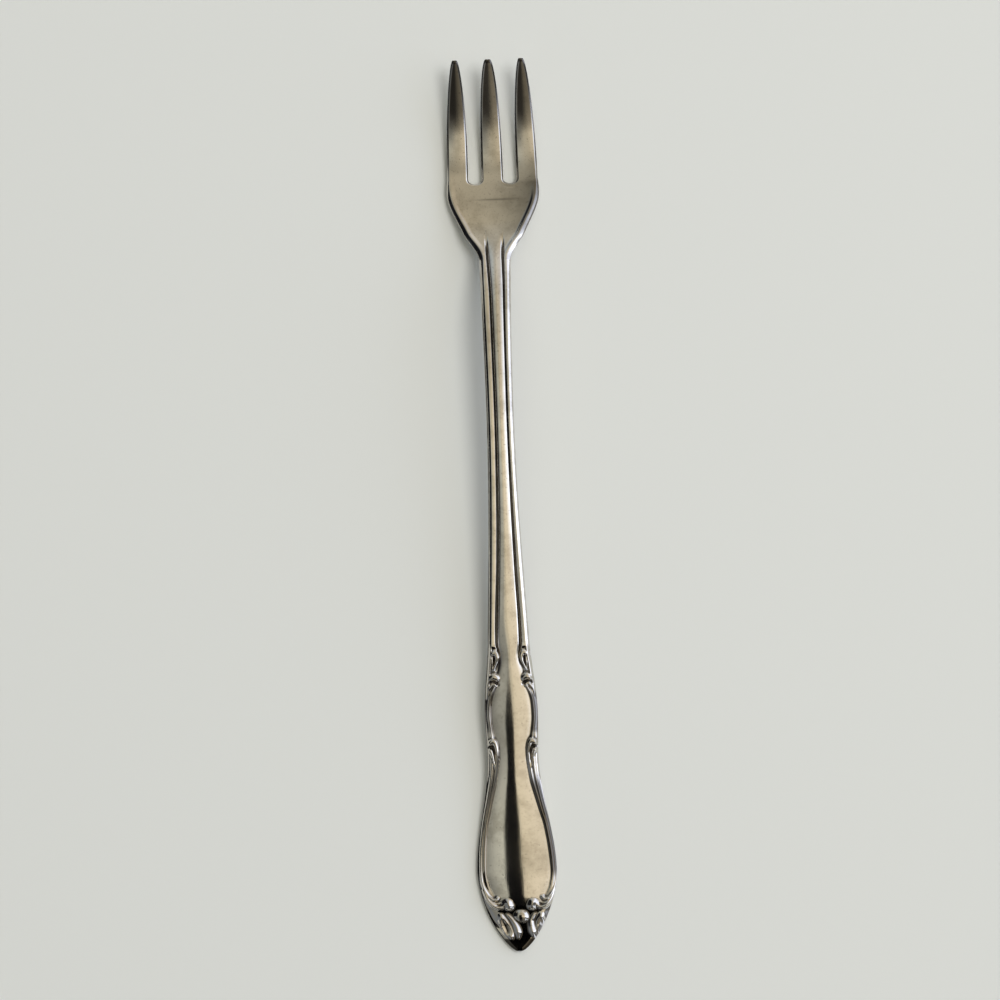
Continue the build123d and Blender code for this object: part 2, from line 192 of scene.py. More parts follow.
TINE_EDGE_SHADE = 0.86
TINE_EDGE_WIDTH = 0.15
TINE_EDGE_FADE = 0.2
TINE_FLAT_SHADE = 0.42
TINE_FLAT_START = HEAD_END - 1
TINE_TIP_SHADE = 0.95
TINE_TIP_START = OVERALL - 0.9
TINE_TIP_FADE = 0.5
TINE_SHADES = [(-HEAD_WIDTH / 3, 0.16), (0, -0.16), (HEAD_WIDTH / 3, 0.04)]
UPPER_TINE_START = HEAD_END + 7
UPPER_TINE_FADE = 5
RECESS_DEPTH = 0.16
HANDLE_RECESS_CELLS = 5
STEM_RECESS_CELLS = 8
HEAD_RECESS_CELLS = 6

# How much rougher the dullest patches of the steel are
ROUGHNESS_SPREAD = 0.08

# Fineness of the sheets
TOP_COLUMNS = 144
BACK_COLUMNS = 24
EDGE_EVENNESS = 0.15
POINT_RUN = 1.0
POINT_ROWS = 20
POINT_CROWDING = 1.8
FINE_END = 12.0
FINE_ROWS = 160
BORDER_END = 28.0
BORDER_ROWS = 96
HOOD_ROWS = 220
STEM_ROWS = 120
PALM_ROWS = 64
PALM_CROWDING = 1.6
TINE_ROWS = 60
TINE_CROWDING = 1.5
MIDDLE_TINE_COLUMNS = 26
SLOT_COLUMNS = 18

# Ornaments: points of (across, place), half-widths, and rises over the floor of the grooves, or depths if sunk
BEADS = [
    # Bud at the stem: its cap with its inner limb, and the thin limb in its hollow
    ([(2.75, 51.0), (2.4, 51.15), (2.1, 50.6), (2.12, 49.8), (2.42, 49.0), (2.8, 48.1)],
     [0.5, 0.55, 0.45, 0.3, 0.14], [0.6, 0.62, 0.55, 0.3]),
    ([(2.9, 50.3), (2.95, 49.3), (2.97, 48.2)], [0.2, 0.17, 0.12], [0.3, 0.32, 0.22]),
    # Cap below the bud
    ([(2.35, 46.75), (2.8, 46.95), (3.2, 46.7)], [0.6, 0.75, 0.6], [0.6, 0.68, 0.55]),
    # Arched lip under the cap
    ([(2.5, 45.45), (2.75, 45.75), (3.2, 45.65), (3.75, 45.0)], [0.2, 0.16], [0.45, 0.4]),
    # Inner and outer beads of the upper border
    ([(2.72, 45.4), (3.3, 44.2), (3.68, 42.7), (3.8, 40.1), (3.55, 37.6), (3.42, 36.6)],
     [0.2, 0.3, 0.26], [0.4, 0.42, 0.4]),
    ([(3.1, 52.6), (3.2, 51), (3.4, 49.4), (3.55, 48), (3.72, 46.5), (3.95, 45), (4.05, 44), (4.1, 43)],
     [0.32, 0.3, 0.28, 0.2], [0.5, 0.46, 0.4, 0.3, 0.02]),
    # Hood at the waist, which runs on as the inner bead of the lower border, and the bud in its hollow
    ([(3.75, 35.75), (3.3, 35.95), (2.9, 35.5), (2.7, 34.4), (2.74, 33.0), (2.9, 31.8), (3.1, 30.4),
      (3.33, 29), (3.95, 26.5), (4.55, 23.9), (5.15, 21.4), (5.72, 17.1), (5.85, 13.7), (5.75, 12.2)],
     [0.5, 0.6, 0.45, 0.34, 0.28, 0.28, 0.26, 0.24, 0.24, 0.24, 0.24, 0.24, 0.2],
     [0.6, 0.66, 0.6, 0.5, 0.42, 0.36, 0.3, 0.22, 0.16, 0.14, 0.14, 0.14, 0.02]),
    ([(3.75, 34.35), (3.62, 34.1), (3.45, 33.5), (3.28, 32.5), (3.1, 31.5), (3.02, 30.6)],
     [0.42, 0.24, 0.16], [0.48, 0.4, 0.3]),
    # Outer bead of the lower border, with its hooked end
    ([(3.55, 33.0), (3.6, 31.5), (3.88, 29.2), (4.45, 26.5), (5.05, 23.9), (5.62, 21.4), (6.25, 17.1),
      (6.42, 13.7), (6.3, 11.6), (5.6, 10.0), (4.85, 9.1), (4.25, 8.8), (3.8, 9.25)],
     [0.28, 0.26, 0.24, 0.22, 0.22, 0.22, 0.28], [0.3, 0.26, 0.18, 0.15, 0.24, 0.46, 0.55]),
    # Scroll that curls under the border into the volute
    ([(6.15, 10.6), (5.5, 9.0), (4.6, 7.9), (3.6, 7.45), (2.95, 7.75), (2.75, 8.4), (2.3, 8.9)],
     [0.3, 0.36, 0.3, 0.25], [0.3, 0.5, 0.5, 0.55]),
    # Crescent between the border's hook and the scroll
    ([(5.0, 8.8), (4.2, 8.2), (3.4, 8.3), (3.0, 8.8)], [0.1, 0.15, 0.1], [0.3, 0.4, 0.3]),
    # Pearl
    ([(0.1, 5.95), (0.12, 5.9)], [1.05, 1.05], [0.62, 0.62]),
]
LEAVES = [
    # Volute
    ([(2.1, 8.45), (1.95, 7.8)], [1.0, 0.95], [0.95, 0.85]),
    # Inner leaf, with a bulb near the end
    ([(2.35, 6.3), (1.6, 5.3), (1.3, 4.2), (1.26, 3.3), (1.45, 2.2)],
     [0.3, 0.45, 0.6, 0.68, 0.25], [0.2, 0.3, 0.42, 0.46, 0.12]),
    # Outer leaf
    ([(3.45, 6.2), (3.2, 5.2), (3.0, 4.2), (2.75, 3.2), (2.56, 2.3)],
     [0.45, 0.85, 0.95, 0.85, 0.4], [0.3, 0.45, 0.5, 0.45, 0.2]),
]
SUNK = [
    # Crescent under the cap
    ([(2.1, 45.7), (2.6, 46.18), (3.05, 46.35), (3.5, 46.15), (3.8, 45.75)],
     [0.2, 0.24, 0.2], [0.25, 0.4, 0.25]),
    # Hollow under the hood's cap
    ([(4.1, 35.0), (3.7, 35.1), (3.2, 34.7), (2.98, 33.9)], [0.16, 0.2, 0.16], [0.3, 0.35, 0.25]),
    # Hollow of the outer leaf
    ([(3.25, 5.3), (3.05, 4.3), (2.85, 3.3)], [0.4, 0.75, 0.68], [0.3, 0.5, 0.45]),
    # Line down the middle of the bud's limb
    ([(2.55, 50.4), (2.6, 49.6), (2.75, 48.9)], [0.16, 0.2, 0.1], [0.2, 0.25, 0.1]),
]

# Sides of the leaves: 1 is straight, 2 is round
LEAF_POWER = 1.35

# Stage, in metres and watts
VIEW_TARGET = (-0.00065, 0.0011, 0.0015)
FLOOR_SIZE = 3
FLOOR_ROUGHNESS = 0.6
LAMP_PLACE = (0.5, 0.25, 1.2)
LAMP_SIZE = 0.55
LAMP_POWER = 6.8
CARD_PLACE = (-0.016, -0.157, 0.15)
CARD_SIZE = (0.061, 0.181, 1)
CARD_CORNER = 0.026
CARD_COLOUR = (0.008, 0.008, 0.01, 1)

# Light of the room, by one part of the direction that it comes from
SIDEWAYS_LIGHTS = [
    (-1, (0.015, 0.015, 0.015)), (-0.76, (0.02, 0.02, 0.02)), (-0.66, (0.12, 0.12, 0.11)),
    (-0.56, (0.38, 0.38, 0.34)), (-0.42, (0.68, 0.68, 0.59)), (-0.24, (0.85, 0.85, 0.73)),
    (-0.08, (0.82, 0.76, 0.6)), (0.04, (0.8, 0.72, 0.54)), (0.12, (1.05, 0.93, 0.7)),
    (0.48, (1.15, 1.02, 0.8)), (0.68, (1.7, 1.66, 1.58)), (0.86, (2.4, 2.4, 2.4)), (1, (2.4, 2.4, 2.4)),
]
LENGTHWISE_LEVELS = [
    (-1, 0.14), (-0.44, 0.26), (-0.34, 0.45), (-0.27, 1), (-0.12, 1), (-0.03, 0.7), (0.3, 0.62), (0.6, 0.72),
    (1, 0.8),
]
COOL_TINT = (1.0, 1.08, 1.3)
COOL_LEVELS = [(-1, 1), (0.5, 1), (0.78, 0), (1, 0)]

# Areas of the room with another light: its colour, and how strong it is sideways and lengthwise
LIGHT_AREAS = [
    ((0.3, 0.3, 0.27), [(-1, 1), (-0.16, 1), (-0.04, 0), (1, 0)],
     [(-1, 0.8), (-0.24, 0.8), (-0.13, 0), (1, 0)]),
    ((0.05, 0.046, 0.04), [(-1, 0), (-0.36, 0), (-0.26, 1), (-0.05, 1), (0.07, 0), (1, 0)],
     [(-1, 1), (-0.4, 1), (-0.27, 0), (1, 0)]),
    ((0.16, 0.15, 0.12), [(-1, 0), (0.55, 0), (0.7, 1), (1, 1)],
     [(-1, 0), (-0.55, 0), (-0.45, 1), (-0.28, 1), (-0.21, 0), (1, 0)]),
    ((1.5, 1.5, 1.45), [(-1, 0), (0.5, 0), (0.7, 1), (1, 1)],
     [(-1, 1), (-0.62, 1), (-0.52, 0), (1, 0)]),
]


def along(stations, place):
    """Values at places, on a smooth curve through stations of (place, value) that never overshoots."""
    knots, values = np.array(stations, float).T
    rates = np.diff(values) / np.diff(knots)
    before, after = rates[:-1], rates[1:]
    same_way = before * after > 0
    inner = np.where(same_way, 2 * before * after / np.where(same_way, before + after, 1), 0)
    slopes = np.concatenate(([2 * rates[0] - inner[0]], inner, [2 * rates[-1] - inner[-1]]))
    place = np.asarray(place, float)
    span = np.clip(np.searchsorted(knots, place) - 1, 0, len(rates) - 1)
    run = np.diff(knots)[span]
    rise = np.diff(values)[span]
    t = np.clip((place - knots[span]) / run, 0, 1)
    lead = slopes[span] * run - rise
    trail = rise - slopes[span + 1] * run
    return values[span] + rise * t + t * (1 - t) * (lead * (1 - t) + trail * t)


def step(value, start, run):
    """A smooth step: 0 up to the start, and 1 from a run further on."""
    share = np.clip((value - start) / run, 0, 1)
    return share * share * (3 - 2 * share)


def rounding(share):
    """A worn edge: 0 at the edge, a short upright wall, a rounded bevel, and 1 from its end inwards."""
    share = np.clip(share, 0, 1)
    bevel = 1 - (1 - share) ** BEVEL_BOW
    return WALL_SHARE * step(share, 0, WALL_RUN) + (1 - WALL_SHARE) * bevel


def half_width(place):
    """Half the width of the blank up to the tines: an ogive at the point, then a smooth curve."""
    share = 1 - np.clip(place / PADDLE_PLACE, 0, 1)
    ogive = (1 - share ** POINT_FULLNESS) ** (1 / POINT_BLUNTNESS)
    pointed = (POINT_WIDTH + (PADDLE_WIDTH - POINT_WIDTH) * ogive) / 2
    return np.where(place < PADDLE_PLACE, pointed, along(WIDTHS, place) / 2)


def tine_walls(place):
    """The middle tine's edge, and the inner and outer edges of the right tine."""
    t = np.clip((place - HEAD_END) / TINE_LENGTH, 0, 1)
    middle_taper = (1 - t * t) ** MIDDLE_TINE_TAPER
    outer_taper = (1 - t * t) ** OUTER_TINE_TAPER
    middle = (TINE_TIP_WIDTH + (MIDDLE_TINE_WIDTH - TINE_TIP_WIDTH) * middle_taper) / 2
    root_inner = SLOT_CENTRE + SLOT_WIDTH / 2
    root_outer = ROOT_WIDTH / 2
    outer = (TINE_TIP_WIDTH + (root_outer - root_inner - TINE_TIP_WIDTH) * outer_taper) / 2
    root_centre = (root_inner + root_outer) / 2
    centre = root_centre + (TINE_TIP_SPACING - root_centre) * t
    return middle, centre - outer, centre + outer


def crowd_edges(count):
    """Columns from -1 to 1 that stand closer together towards both ends."""
    even = np.linspace(-1, 1, count + 1)
    return (1 - EDGE_EVENNESS) * np.sin(even * math.pi / 2) + EDGE_EVENNESS * even


def edge_distance(across, place, half):
    """Distance from the outline, measured square to it."""
    slope = np.gradient(half[:, 0], place[:, 0])[:, None]
    return np.clip(half - np.abs(across), 0, None) / np.sqrt(1 + slope * slope)


def back_height(place):
    """Height of the underside on the centre line."""
    return along(BACK_HEIGHTS, place)


def crown_height(place):
    """Height of the upper side on the centre line."""
    return back_height(place) + along(THICKNESSES, place)


def floor_height(place):
    """Height of the floor of the grooves."""
    return crown_height(place) - along(GROOVE_DEPTHS, place)


def die_face(across, place, half):
    """The upper side without its ornament: the crowned middle, the grooves and the ribs."""
    crown = crown_height(place)
    floor = floor_height(place)
    groove = along(GROOVE_PLACES, place)
    shifted = across - along(DIE_SHIFTS, place)
    x = np.abs(shifted)
    share = np.clip(x / along(RIDGE_WIDTHS, place), 0, 1)
    bow = along(RIDGE_BOW_SHARES, place)
    middle = crown - (crown - floor) * (bow * share ** 2 + (1 - bow) * share ** RIDGE_POWER)
    middle -= along(RIDGE_LEANS, place) * shifted * (1 - share ** RIDGE_LEAN_POWER)
    rib = floor + along(RIB_RISES, place) * step(x, groove, RIB_WALL)
    share = np.clip((x - groove) / (half - groove), 0, 1)
    drop = along(EDGE_DROPS, place) * share ** 2 + along(RIB_BOWS, place) * (2 * share - 1) ** 2
    return np.where(x < groove, middle, rib - drop)


def rim_height(place):
    """Height of the parting line of the dies, round the edge."""
    rib = floor_height(place) + along(RIB_RISES, place)
    low = back_height(place) + along(BACK_BOWS, place)
    return low + RIM_SHARE * (rib - low)


def smooth_path(points, steps=6):
    """Points on a smooth curve through the given ones."""
    p = np.array([points[0], *points, points[-1]], float)
    path = []
    for k in range(1, len(p) - 2):
        for t in np.arange(steps) / steps:
            path.append(0.5 * (2 * p[k] + (p[k + 1] - p[k - 1]) * t
                               + (2 * p[k - 1] - 5 * p[k] + 4 * p[k + 1] - p[k + 2]) * t ** 2
                               + (3 * p[k] - p[k - 1] - 3 * p[k + 1] + p[k + 2]) * t ** 3))
    path.append(p[-1])
    return np.array(path)


def bead(share):
    """Profile of a round bead, from its middle to its side."""
    return np.sqrt(np.clip(1 - share ** 2, 0, None))


def leaf(share):
    """Profile of a leaf with a rounded ridge and sloping sides."""
    return np.clip(1 - share ** LEAF_POWER, 0, None)


def stroke(x, place, profile, points, widths, rises):
    """Height of a raised line along a path, with half-widths and rises that run from first to last."""
    path = smooth_path(points)
    height = np.zeros_like(x)
    reach = max(widths)
    near = (x > path[:, 0].min() - reach) & (x < path[:, 0].max() + reach)
    near &= (place > path[:, 1].min() - reach) & (place < path[:, 1].max() + reach)
    spot = np.stack([x[near], place[near]], axis=-1)
    best = np.zeros(len(spot))
    for k in range(len(path) - 1):
        run = path[k + 1] - path[k]
        t = np.clip((spot - path[k]) @ run / (run @ run), 0, 1)
        gap = np.linalg.norm(spot - path[k] - t[:, None] * run, axis=1)
        share = (k + t) / (len(path) - 1)
        width = np.interp(share, np.linspace(0, 1, len(widths)), widths)
        rise = np.interp(share, np.linspace(0, 1, len(rises)), rises)
        best = np.maximum(best, rise * profile(gap / width))
    height[near] = best
    return height


def ornament(across, place, base):
    """The upper side with the ornament raised, and then with its lines sunk."""
    floor = floor_height(place)
    x = np.abs(across - along(DIE_SHIFTS, place))
    raised = base.copy()
    for profile, strokes in ((bead, BEADS), (leaf, LEAVES)):
        for points, widths, rises in strokes:
            height = stroke(x, place, profile, points, widths, rises)
            raised = np.where(height > 0, np.maximum(raised, floor + height), raised)
    sunk = raised.copy()
    for points, widths, depths in SUNK:
        sunk -= stroke(x, place, leaf, points, widths, depths)
    return tuple(np.where(place > FINE_END, soften(face, 1), soften(face, 2)) for face in (raised, sunk))


def soften(grid, cells):
    """A grid averaged over as many cells on each side."""
    for axis in (0, 1):
        padding = [(0, 0), (0, 0)]
        padding[axis] = (cells, cells)
        padded = np.pad(grid, padding, mode="edge")
        shifts = [np.roll(padded, k, axis) for k in range(-cells, cells + 1)]
        inside = [slice(None), slice(None)]
        inside[axis] = slice(cells, -cells)
        grid = (sum(shifts) / len(shifts))[tuple(inside)]
    return grid


def recess_dirt(height, cells):
    """Dirt that a recess holds, from how deep it lies below its surroundings."""
    return np.clip((soften(height, cells) - height) / RECESS_DEPTH, 0, 1)


def channel_darkening(across, place, half):
    """Darkening between the panel and the rim of the handle, most of it on the right."""
    groove = along(GROOVE_PLACES, place)
    x = np.abs(across - along(DIE_SHIFTS, place))
    share = (x - groove) / (half - groove)
    right = CHANNEL_LEAN * step(across / half, -0.5, 1)
    inner = step(share, CHANNEL_START, CHANNEL_FADE_IN)
    outer = step(share, CHANNEL_END + right, CHANNEL_FADE_OUT)
    return along(CHANNEL_DARKENINGS, place) * inner * (1 - outer) * (1 - CHANNEL_LEAN + right)


def left_edge_painted_shade(across, place, share):
    """Painted shade low on the left edge of the handle, for the shaded floor that the edge mirrors; it fades
    out along the stem.
    """
    low = 1 - step(share, EDGE_SHADE_SHARE, EDGE_SHADE_FADE)
    left = np.where(across < 0, EDGE_SHADE, 0)
    return left * low * (1 - step(place, EDGE_SHADE_END, EDGE_SHADE_RUN_OUT))


def inside_field(across, place, half):
    """1 on the ornamented ground of the pointed end, and 0 on the plain band round it."""
    return step(half - np.abs(across), along(FIELD_MARGINS, place), FIELD_FADE)


def field_dirt(across, place, half, relief):
    """Dirt on the low ground round the ornament of the pointed end, and on the point itself."""
    low = 1 - step(relief, 0, FIELD_RELIEF)
    point = 1 - step(place, DARK_POINT_END, DARK_POINT_FADE)
    return along(FIELD_DIRTS, place) * low * np.maximum(inside_field(across, place, half), point)


def palm_darkening(across, place, half):
    """Darkening of the palm, heavier to the right, with a faint mark across it."""
    share = across / half
    mark = PALM_MARK * (1 - step(np.abs(place - PALM_MARK_PLACE), 0, PALM_MARK_WIDTH))
    mark *= 1 - step(np.abs(share - PALM_MARK_SHARE), 0, PALM_MARK_REACH)
    return along(PALM_DARKENINGS, place) * np.clip(PALM_DARKENING_MIDDLE + PALM_DARKENING_LEAN * share + mark, 0, None)


def tine_painted_shade(across, place, gap):
    """Painted shade on the edges, flats and tips of the tines, for the dark room they mirror, not the same on
    each tine's upper half.
    """
    edges = 1 - step(gap, TINE_EDGE_WIDTH, TINE_EDGE_FADE)
    edges *= TINE_EDGE_SHADE * step(place, HEAD_END, TINE_SHADE_RUN)
    flats = TINE_FLAT_SHADE * step(place, TINE_FLAT_START, TINE_SHADE_RUN)
    flats += along(TINE_SHADES, across) * step(place, UPPER_TINE_START, UPPER_TINE_FADE)
    tips = TINE_TIP_SHADE * step(place, TINE_TIP_START, TINE_TIP_FADE)
    return np.maximum(np.maximum(edges, flats), tips)


def add_sheet(name, across, place, height):
    """A sheet of metal: a grid whose columns and rows are drawn out to the fork's shape."""
    rows, columns = across.shape
    bpy.ops.object.select_all(action="DESELECT")
    bpy.ops.mesh.primitive_grid_add(x_subdivisions=columns - 1, y_subdivisions=rows - 1, size=1)
    sheet = bpy.context.object
    sheet.name = name
    spots = np.stack([across, place + POINT_Y, height], axis=-1) * MM
    sheet.data.vertices.foreach_set("co", spots.ravel())
    sheet.data.update()
    return sheet


def press(sheet, group, amounts):
    """Moves a sheet's metal up, or down if the amounts are negative, as a die does."""
    reach = amounts.ravel()[np.abs(amounts).argmax()]
    weights = sheet.vertex_groups.new(name=group)
    for index, share in enumerate((amounts / reach).ravel()):
        if share > 0:
            weights.add([index], share, "REPLACE")
    bpy.ops.object.modifier_add(type="DISPLACE")
    die = sheet.modifiers[-1]
    die.direction = "Z"
    die.vertex_group = group
    die.mid_level = 0
    die.strength = reach * MM
    bpy.ops.object.modifier_apply(modifier=die.name)


def set_stain_and_shade(sheet, values):
    """Keeps how far each point of a sheet is darkened by stain and by painted shade, for the finish."""
    stain_and_shade = sheet.data.attributes.new("stain_and_shade", "FLOAT", "POINT")
    stain_and_shade.data.foreach_set("value", values.ravel())


def stitch(name, top, back):
    """Joins the two sheets round their rim, closes the open ends and smooths all but the rim and ends."""
    bpy.ops.object.select_all(action="DESELECT")
    back.select_set(True)
    top.select_set(True)
    bpy.context.view_layer.objects.active = top
    bpy.ops.object.join()
    bpy.ops.object.mode_set(mode="EDIT")
    bpy.ops.mesh.select_all(action="SELECT")
    bpy.ops.mesh.remove_doubles(threshold=1e-6)
    bpy.ops.mesh.select_mode(type="EDGE")
    bpy.ops.mesh.select_all(action="DESELECT")
    bpy.ops.mesh.select_non_manifold()
    bpy.ops.mesh.mark_sharp()
    bpy.ops.mesh.select_all(action="SELECT")
    bpy.ops.mesh.fill_holes(sides=0)
    bpy.ops.mesh.normals_make_consistent(inside=False)
    bpy.ops.object.mode_set(mode="OBJECT")
    bpy.ops.object.shade_smooth()
    top.name = name
    top.vertex_groups.clear()
    return top


def finish_piece(piece, material, *nodes):
    """Gives a piece its steel, and hangs it on the body in place of its nodes."""
    piece.data.materials.clear()
    piece.data.materials.append(material)
    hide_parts(*nodes)
    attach(piece, "root")


def back_face(place, half, columns):
    """The plain underside: a shallow bow, rounded up to the rim, and worn flat on the table."""
    across = half * columns
    rim = rim_height(place)
    low = back_height(place) + along(BACK_BOWS, place) * columns ** 2
    depth = np.minimum(edge_distance(across, place, half), place + POINT_EDGE)
    height = rim + (low - rim) * rounding(depth / BACK_ROUND)
    return across, place, np.maximum(height, 0)


def make_bar(name, places, cells, strike):
    """A stretch of the handle or stem: an upper sheet, pressed if it is struck, and a back sheet."""
    place = np.repeat(places[:, None], TOP_COLUMNS + 1, axis=1)
    half = half_width(place)
    across = half * crowd_edges(TOP_COLUMNS)
    depth = np.minimum(edge_distance(across, place, half), place + POINT_EDGE)
    edge_share = depth / along(EDGE_ROUNDS, place)
    fullness = rounding(edge_share)
    rim = rim_height(place)
    face = die_face(across, place, half)
    top = add_sheet(name, across, place, rim + (face - rim) * fullness)
    # Darkening of the channel, and painted shade on the left edge
    dirt_and_shade = np.maximum(channel_darkening(across, place, half), left_edge_painted_shade(across, place, edge_share))
    recessed = 1
    if strike > 0:
        raised, sunk = ornament(across, place, face)
        press(top, "raised", strike * (raised - face).clip(0) * fullness)
        press(top, "sunk", strike * (sunk - raised).clip(None, 0) * fullness)
        dirt_and_shade = np.maximum(dirt_and_shade, field_dirt(across, place, half, sunk - face))
        recessed = np.where(place < FINE_END, inside_field(across, place, half), 1)
        face = sunk
    set_stain_and_shade(top, np.maximum(recessed * recess_dirt(face - crown_height(place), cells), dirt_and_shade))
    place = np.repeat(places[:, None], BACK_COLUMNS + 1, axis=1)
    back = add_sheet(name + "_back", *back_face(place, half_width(place), crowd_edges(BACK_COLUMNS)))
    set_stain_and_shade(back, np.zeros_like(place))
    return stitch(name, top, back)


def head_columns():
    """Columns of the right half at the roots of the tines: middle tine, slot, outer tine."""
    middle, inner, outer = tine_walls(np.array(HEAD_END))
    first = middle * crowd_edges(2 * MIDDLE_TINE_COLUMNS)[MIDDLE_TINE_COLUMNS:]
    angles = np.linspace(0, math.pi, SLOT_COLUMNS + 1)[1:]
    second = SLOT_CENTRE - SLOT_WIDTH / 2 * np.cos(angles)
    outer_columns = TOP_COLUMNS // 2 - MIDDLE_TINE_COLUMNS - SLOT_COLUMNS
    third = inner + (outer - inner) * (crowd_edges(outer_columns)[1:] + 1) / 2
    return np.concatenate([first, second, third])


def head_plan(places, slot_depth):
    """Where the head's rows and columns lie, and how far each point is from the outline."""
    half_columns = TOP_COLUMNS // 2
    place = np.repeat(places[:, None], half_columns + 1, axis=1)
    index = np.arange(half_columns + 1)
    in_slot = (index > MIDDLE_TINE_COLUMNS) & (index < MIDDLE_TINE_COLUMNS + SLOT_COLUMNS)
    in_middle = index <= MIDDLE_TINE_COLUMNS
    at_root = head_columns()
    neck = crowd_edges(TOP_COLUMNS)[half_columns:]
    half = half_width(np.minimum(place, HEAD_END))
    change = step(place, STEM_END, HEAD_END - STEM_END - SLOT_RUN / 2)
    palm_across = half * (neck + (at_root / at_root[-1] - neck) * change)
    middle, inner, outer = tine_walls(place)
    root_middle, root_inner, root_outer = tine_walls(np.array(HEAD_END))
    tine_across = np.where(
        in_middle, at_root * middle / root_middle,
        inner + (outer - inner) * (at_root - root_inner) / (root_outer - root_inner))
    across = np.where(place > HEAD_END, tine_across, palm_across)
    from_slot = np.clip(1 - ((at_root - SLOT_CENTRE) / (SLOT_WIDTH / 2)) ** 2, 0, None)
    sink = np.where(in_slot, slot_depth * np.sqrt(from_slot), 0)
    ramp = np.clip((place - HEAD_END + SLOT_RUN) / SLOT_RUN, 0, 1) ** 2
    drawn = np.where(place > HEAD_END, place, place - sink * ramp)
    below_slot = (drawn - HEAD_END) * SLOT_WIDTH / 2 / slot_depth
    to_slot = np.hypot(across - SLOT_CENTRE, below_slot) - SLOT_WIDTH / 2
    palm_gap = np.minimum(edge_distance(palm_across, place, half), np.clip(to_slot, 0, None))
    off_outline = (place < HEAD_END) & (index < half_columns)
    palm_gap = np.where(off_outline, np.maximum(palm_gap, LEAST_GAP), palm_gap)
    slope_middle = np.gradient(middle[:, 0], places)[:, None]
    slope_outer = np.gradient(outer[:, 0], places)[:, None]
    middle_gap = (middle - across) / np.sqrt(1 + slope_middle ** 2)
    outer_gap = np.minimum(outer - across, across - inner) / np.sqrt(1 + slope_outer ** 2)
    tine_gap = np.minimum(np.where(in_middle, middle_gap, outer_gap), OVERALL - place)
    gap = np.clip(np.where(place > HEAD_END, tine_gap, palm_gap), 0, None)
    off_middle = np.where(in_middle, across / middle, 2 * (across - inner) / (outer - inner) - 1)
    bow = TINE_CROWN * off_middle ** 2 * step(place, HEAD_END, TINE_CROWN_RUN)
    mirror = slice(None, 0, -1)
    across = np.concatenate([-across[:, mirror], across], axis=1)
    drawn, gap, bow = (np.concatenate([one[:, mirror], one], axis=1) for one in (drawn, gap, bow))
    slots = np.concatenate([in_slot[mirror], in_slot])
    return across, drawn, gap, bow, slots


def cut_slots(sheet, rows, slots):
    """Deletes the metal between the tines."""
    columns = len(slots) - 1
    touched = slots[:-1] | slots[1:]
    chosen = np.zeros(len(sheet.data.polygons), bool)
    chosen.reshape(rows - 1, columns)[PALM_ROWS:, touched] = True
    bpy.ops.object.mode_set(mode="EDIT")
    bpy.ops.mesh.select_mode(type="FACE")
    bpy.ops.mesh.select_all(action="DESELECT")
    bpy.ops.object.mode_set(mode="OBJECT")
    sheet.data.polygons.foreach_set("select", chosen)
    bpy.ops.object.mode_set(mode="EDIT")
    bpy.ops.mesh.delete(type="FACE")
    bpy.ops.object.mode_set(mode="OBJECT")


def make_head(name, rim_width, slot_depth):
    """The palm and its three tines: two sheets with slots, stitched round every edge."""
    palm = HEAD_END - (HEAD_END - STEM_END) * (1 - np.arange(PALM_ROWS + 1) / PALM_ROWS) ** PALM_CROWDING
    tines = OVERALL - TINE_LENGTH * (1 - np.arange(1, TINE_ROWS + 1) / TINE_ROWS) ** TINE_CROWDING
    places = np.concatenate([palm, tines])
    across, place, gap, bow, slots = head_plan(places, slot_depth)
    on_palm = np.minimum(place, HEAD_END)
    half = half_width(on_palm)
    back = back_height(place)
    crown = crown_height(place)
    face = die_face(across, on_palm, half)
    face = np.where(place > HEAD_END, crown + (face - crown_height(on_palm)) - bow, face)
    rise = along(RIM_RISES, place) * np.where(across < 0, LEFT_RIM_SHARE, 1)
    face += rise * (1 - step(gap, rim_width, RIM_WALL))
    face += along(PALM_DISHES, place) * (across / half) ** 2
    rim = np.where(place > HEAD_END, back + RIM_SHARE * (crown - back), rim_height(place))
    fullness = rounding(gap / along(EDGE_ROUNDS, place))
    top = add_sheet(name, across, place, rim + (face - rim) * fullness)
    # Darkening of the palm, and painted shade on the tines
    dirt_and_shade = np.maximum(palm_darkening(across, place, half), tine_painted_shade(across, place, gap))
    set_stain_and_shade(top, np.maximum(recess_dirt(face - crown, HEAD_RECESS_CELLS), dirt_and_shade))
    cut_slots(top, len(places), slots)
    low = back + along(BACK_BOWS, place) * (across / half) ** 2
    height = rim + (low - rim) * rounding(gap / BACK_ROUND)
    under = add_sheet(name + "_back", across, place, np.maximum(height, 0))
    set_stain_and_shade(under, np.zeros_like(place))
    cut_slots(under, len(places), slots)
    return stitch(name, top, under)


class ForkRelief(bpy.types.PropertyGroup):
    """Sizes of the relief that the dies give."""

    strike: bpy.props.FloatProperty(
        name="Strike", description="How fully the dies press the ornament", subtype="FACTOR", min=0, max=1,
        default=1)
    rim_width: bpy.props.FloatProperty(
        name="Rim width", description="Width of the raised rim along the shoulders of the palm",
        subtype="DISTANCE", unit="LENGTH", min=0, default=RIM_WIDTH * MM)
    slot_depth: bpy.props.FloatProperty(
        name="Slot depth", description="How far the slots' round ends reach into the palm",
        subtype="DISTANCE", unit="LENGTH", min=0.1 * MM, default=SLOT_DEPTH * MM)


